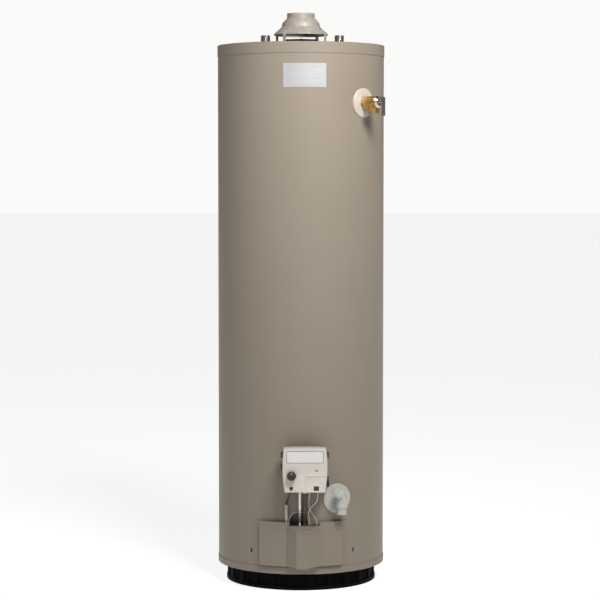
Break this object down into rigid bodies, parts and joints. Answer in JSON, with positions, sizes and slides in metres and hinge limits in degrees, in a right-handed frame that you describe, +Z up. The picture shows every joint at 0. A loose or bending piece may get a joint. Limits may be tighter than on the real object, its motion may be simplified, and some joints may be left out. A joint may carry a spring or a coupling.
{
  "type": "tank water heater",
  "caption": "Tall round gas tank water heater: steel jacket, draft hood on legs, pipe nipples, relief valve, gas control with knob, drain valve and pull-off burner door.",
  "frame": {"origin": "on the floor, on the tank's own axis", "axes": "+Z up along the tank's axis, -Y out of the front where the gas control and burner door are, +X to the right of someone facing that front"},
  "size_m": [0.4595, 0.5448, 1.562],
  "materials": {
    "ring_black": "textured black",
    "screen": "fine black mesh",
    "jacket_paint": "taupe baked enamel, satin",
    "tank_steel": "glass-lined steel",
    "flue_steel": "heat-darkened steel",
    "galvanised": "galvanised",
    "zinc": "zinc plated",
    "magnesium": "cast",
    "black_plastic": "moulded black",
    "cream_plastic": "moulded cream",
    "dip_plastic": "natural",
    "foam": "rigid foam",
    "label": "blank satin plate",
    "brass": "cast and machined",
    "bonnet_steel": "nickel plated",
    "lever_steel": "stamped steel",
    "spring_steel": "spring steel",
    "white_plastic": "moulded white",
    "casting": "dark die casting",
    "control_plastic": "moulded cream",
    "control_label": "blank white label",
    "copper": "brass-bodied probe",
    "lens": "smoked",
    "tube_aluminium": "drawn",
    "tube_steel": "oxidised steel",
    "lead_black": "silicone",
    "lead_clear": "pale silicone",
    "lead_pink": "pale red and white silicone",
    "trim_grey": "pale edge moulding",
    "gasket": "glass fibre",
    "glass": "clear",
    "burner_steel": "pressed stainless"
  },
  "bodies": {
    "heater": {"base_ring": "ring_black", "intake_screen": "screen", "base_pan": "jacket_paint", "flame_arrestor": "burner_steel", "tank_shell": "tank_steel", "top_head": "tank_steel", "bottom_head": "tank_steel", "flue_tube": "flue_steel", "flue_baffle": "flue_steel", "anode_rod": "magnesium", "anode_cap": "cream_plastic", "cold_nipple": "zinc", "hot_nipple": "zinc", "dip_tube": "dip_plastic", "jacket": "jacket_paint", "insulation": "foam", "top_cover": "jacket_paint", "draft_hood": "galvanised", "hood_legs": "galvanised", "hood_rivets": "zinc", "label_plate": "label", "relief_escutcheon": "cream_plastic", "relief_body": "brass", "relief_bonnet": "bonnet_steel", "relief_lever_pin": "spring_steel", "relief_spring": "spring_steel", "relief_probe": "copper", "drain_escutcheon": "cream_plastic", "drain_body": "white_plastic", "control_casting": "casting", "control_cover": "control_plastic", "control_label": "control_label", "control_probe": "copper", "knob_spring": "spring_steel", "button_spring": "spring_steel", "status_lens": "lens", "thermopile_plug": "black_plastic", "gas_tube": "tube_steel", "pilot_tube": "tube_aluminium", "tube_nuts": "brass", "igniter_lead": "lead_black", "electrode_lead": "lead_clear", "igniter_boot": "white_plastic", "thermopile_wires": "lead_pink", "notch_trim": "trim_grey", "inner_door": "jacket_paint", "door_gasket": "gasket", "door_screws": "zinc", "sight_glass": "glass", "burner": "burner_steel", "burner_orifice": "brass", "pilot_burner": "burner_steel"},
    "relief_lever": {"relief_lever": "lever_steel"},
    "relief_stem": {"relief_stem": "brass"},
    "drain_stem": {"drain_stem": "white_plastic"},
    "drain_knob": {"drain_knob": "white_plastic"},
    "knob_shaft": {"knob_shaft": "zinc"},
    "control_knob": {"control_knob": "black_plastic"},
    "igniter_button": {"igniter_button": "black_plastic"},
    "outer_door": {"outer_door": "jacket_paint"}
  },
  "joints": [
    {"name": "relief_lever_lift", "type": "hinge", "parent": "heater", "child": "relief_lever", "pos_m": [0.21503, -0.20122, 1.3217], "axis": [-0.6833, -0.7302, 0], "range_deg": [0, 80], "stiffness_Nm_per_rad": 0.02},
    {"name": "relief_stem_lift", "type": "slide", "parent": "heater", "child": "relief_stem", "axis": [0.7302, -0.6833, 0], "range_m": [0, 0.0041], "deforming": ["relief_spring"]},
    {"name": "drain_stem_travel", "type": "slide", "parent": "heater", "child": "drain_stem", "axis": [-0.2342, -0.8017, 0.55], "range_m": [0, 0.003]},
    {"name": "drain_knob_turn", "type": "hinge", "parent": "drain_stem", "child": "drain_knob", "pos_m": [0.10591, -0.23528, 0.2595], "axis": [0.2342, 0.8017, -0.55], "range_deg": [-545, 0]},
    {"name": "knob_push", "type": "slide", "parent": "heater", "child": "knob_shaft", "axis": [0, 1, 0], "range_m": [0, 0.005], "stiffness_N_per_m": 400, "springref_m": -0.002, "deforming": ["knob_spring"]},
    {"name": "knob_turn", "type": "hinge", "parent": "knob_shaft", "child": "control_knob", "pos_m": [-0.0251, -0.3, 0.325], "axis": [0, 1, 0], "range_deg": [0, 285]},
    {"name": "igniter_push", "type": "slide", "parent": "heater", "child": "igniter_button", "axis": [0, 1, 0], "range_m": [0, 0.005], "stiffness_N_per_m": 600, "springref_m": -0.002, "deforming": ["button_spring"]},
    {"name": "outer_door_pull", "type": "slide", "parent": "heater", "child": "outer_door", "axis": [0, -1, 0], "range_m": [0, 0.12]}
  ],
  "couplings": [
    {"joint": "relief_stem_lift", "follows": "relief_lever_lift", "m_per_rad": 0.002865},
    {"joint": "drain_knob_turn", "follows": "drain_stem_travel", "rad_per_m": -3141.6}
  ]
}
